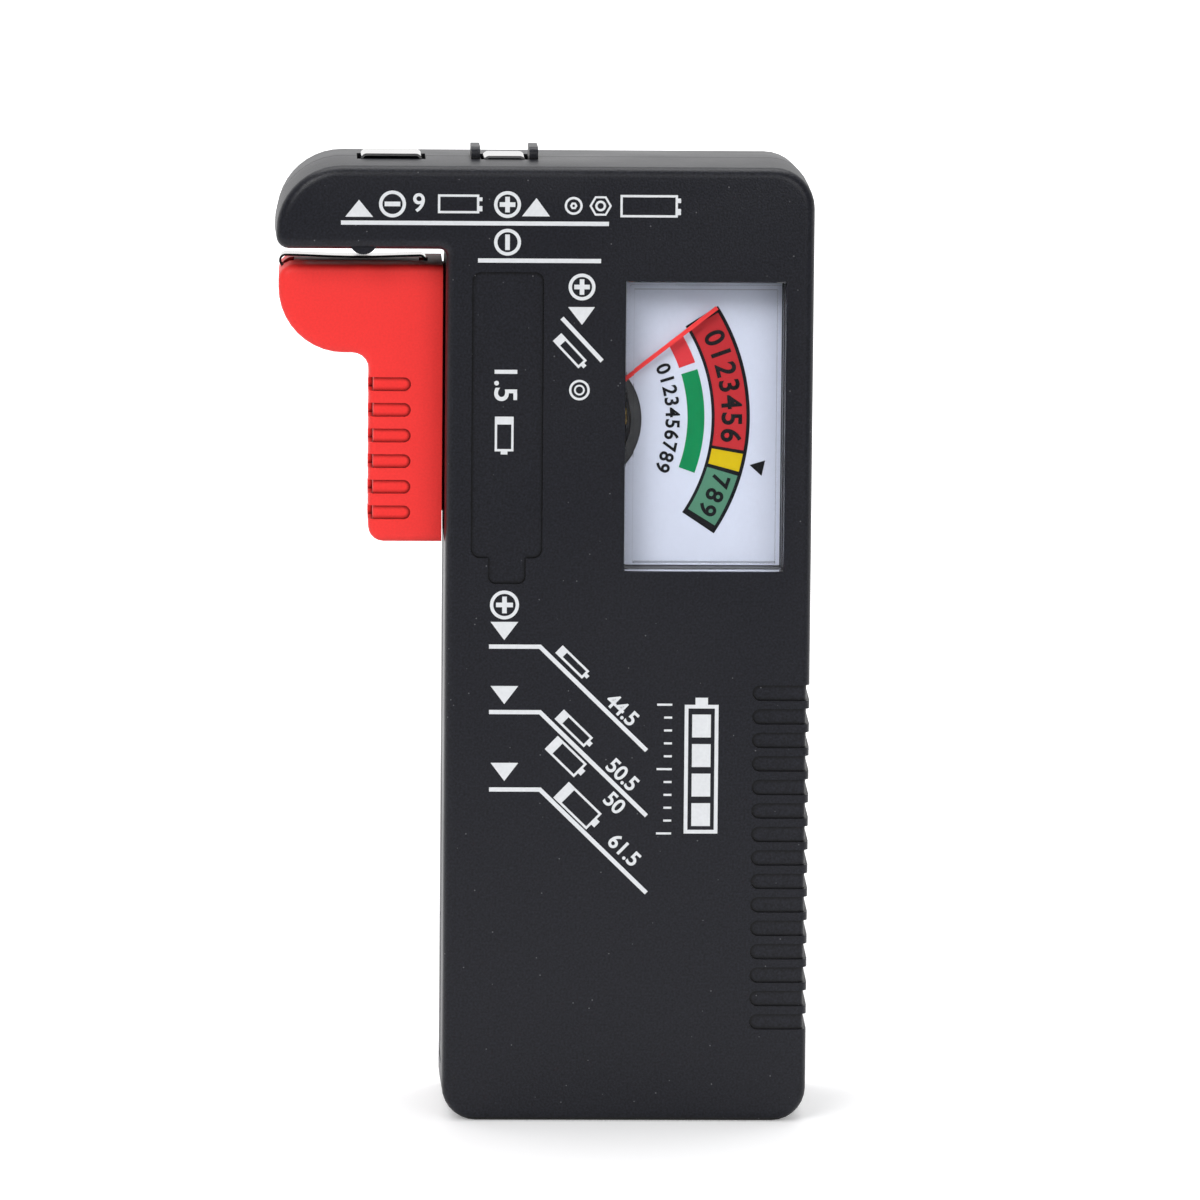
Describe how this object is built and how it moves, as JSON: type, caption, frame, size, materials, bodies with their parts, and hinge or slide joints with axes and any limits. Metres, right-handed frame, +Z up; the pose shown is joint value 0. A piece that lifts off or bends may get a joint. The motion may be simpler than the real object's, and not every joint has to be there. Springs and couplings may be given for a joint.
{
  "type": "battery tester",
  "caption": "Palm-sized analogue battery tester: black two-shell case with a fixed arm, a sprung red slide jaw, a nine-volt contact pair and a pointer meter behind a clear window.",
  "frame": {"origin": "middle of the whole tester's width and depth, on the plane its lower end stands on", "axes": "+Z up along the case's height, front face towards -Y, arm and jaw towards -X"},
  "size_m": [0.0604, 0.0256, 0.1093],
  "materials": {
    "case_plastic": "fine satin, black ABS",
    "jaw_red": "satin, red ABS",
    "clear_plastic": "clear moulded acrylic",
    "frame_plastic": "matt, dark moulding",
    "dial_white": "matt white paint with a coloured scale",
    "pointer_red": "red paint",
    "contact_nickel": "bright nickel-plated spring strip",
    "screw_steel": "zinc-plated steel",
    "soft_iron": "plain grey iron",
    "aluminium": "thin bare sheet",
    "brass": "plain brass",
    "coil_wire": "enamelled copper wire",
    "resistor_blue": "lacquered resistor body",
    "resistor_tan": "lacquered resistor body",
    "lead_black": "PVC insulation",
    "lead_red": "PVC insulation",
    "print_white": "matt white pad print"
  },
  "bodies": {
    "case": {"front_shell": "case_plastic", "rear_shell": "case_plastic", "case_screws": "screw_steel", "window": "clear_plastic", "meter_frame": "frame_plastic", "dial_plate": "dial_white", "dial_screws": "brass", "meter_yoke": "soft_iron", "core_magnet": "soft_iron", "core_spacers": "brass", "front_bridge": "brass", "rear_bridge": "brass", "front_jewel_screw": "brass", "rear_jewel_screw": "brass", "meter_terminals": "brass", "arm_contact": "contact_nickel", "snap_contact_negative": "contact_nickel", "snap_contact_positive": "contact_nickel", "return_spring": "screw_steel", "spring_tag": "brass", "load_resistor": "resistor_blue", "range_resistor": "resistor_tan", "snap_resistor": "resistor_tan", "negative_lead": "lead_black", "snap_negative_lead": "lead_black", "positive_lead": "lead_red", "snap_positive_lead": "lead_red"},
    "jaw": {"slide_jaw": "jaw_red", "slide_contact": "contact_nickel"},
    "movement": {"moving_coil": "coil_wire", "coil_former": "aluminium", "pivot_staffs": "screw_steel", "pointer": "pointer_red", "balance_weight": "brass", "hairsprings": "brass"}
  },
  "joints": [
    {"name": "jaw_slide", "type": "slide", "parent": "case", "child": "jaw", "axis": [0, 0, -1], "range_m": [0, 0.061], "stiffness_N_per_m": 40, "springref_m": -0.04, "deforming": ["return_spring"]},
    {"name": "pointer_swing", "type": "hinge", "parent": "case", "child": "movement", "pos_m": [0.003, 0, 0.0791], "axis": [0, 1, 0], "range_deg": [0, 77], "stiffness_Nm_per_rad": 0.00001, "springref_deg": -22.92}
  ]
}
